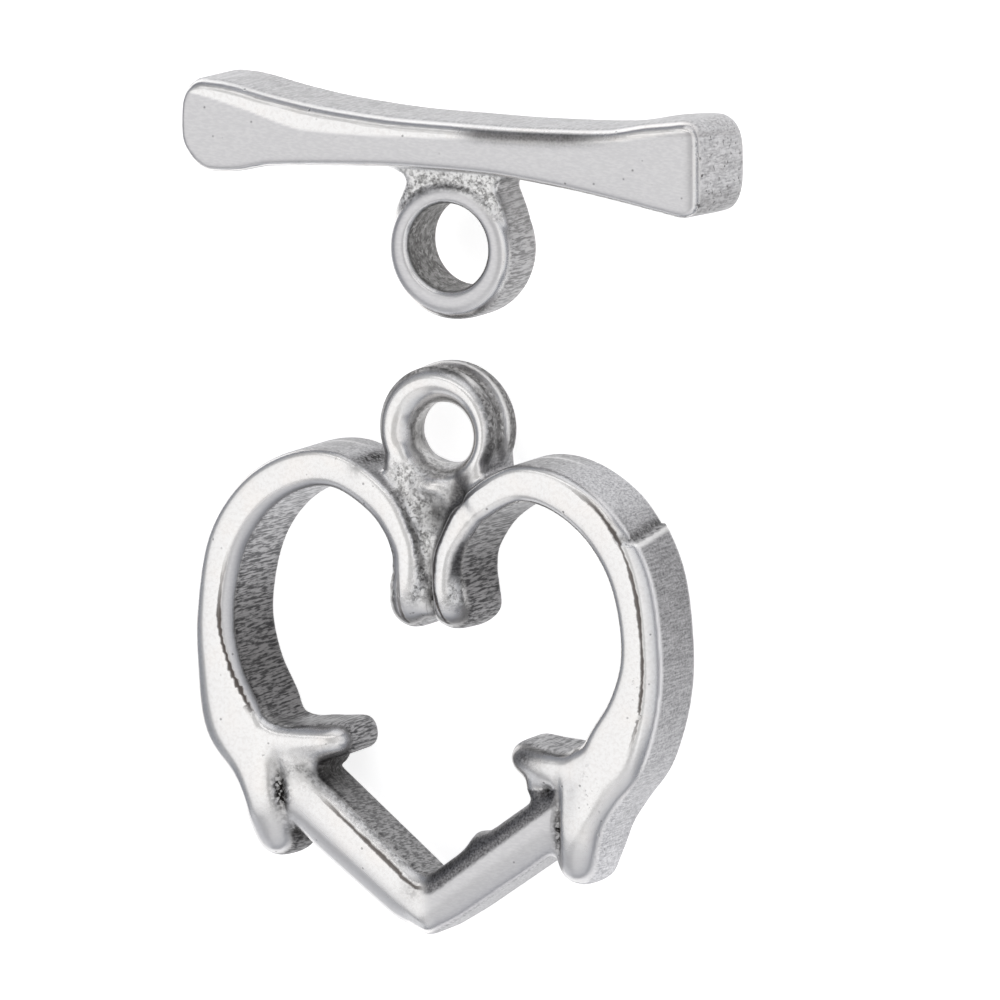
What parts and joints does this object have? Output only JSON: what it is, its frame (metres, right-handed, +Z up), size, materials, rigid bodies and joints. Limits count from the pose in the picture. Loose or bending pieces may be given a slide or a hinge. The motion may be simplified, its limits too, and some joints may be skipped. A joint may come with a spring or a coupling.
{
  "type": "heart toggle clasp",
  "caption": "Heart-shaped ring and flared toggle bar of a cast steel clasp, each with a round link eye, lying face up.",
  "frame": {"origin": "middle of the laid-out clasp, on the surface that it lies on", "axes": "+Y from the tip of the heart towards the bar, +X along the bar, +Z up out of the front faces"},
  "size_m": [0.0214, 0.031, 0.0036],
  "materials": {
    "cast_steel_ring": "polished faces, darkened rough walls and recesses",
    "cast_steel_bar": "polished faces, brushed top, darkened rough neck and bore"
  },
  "bodies": {
    "root": {"heart_ring": "cast_steel_ring", "toggle_bar": "cast_steel_bar"}
  },
  "joints": []
}
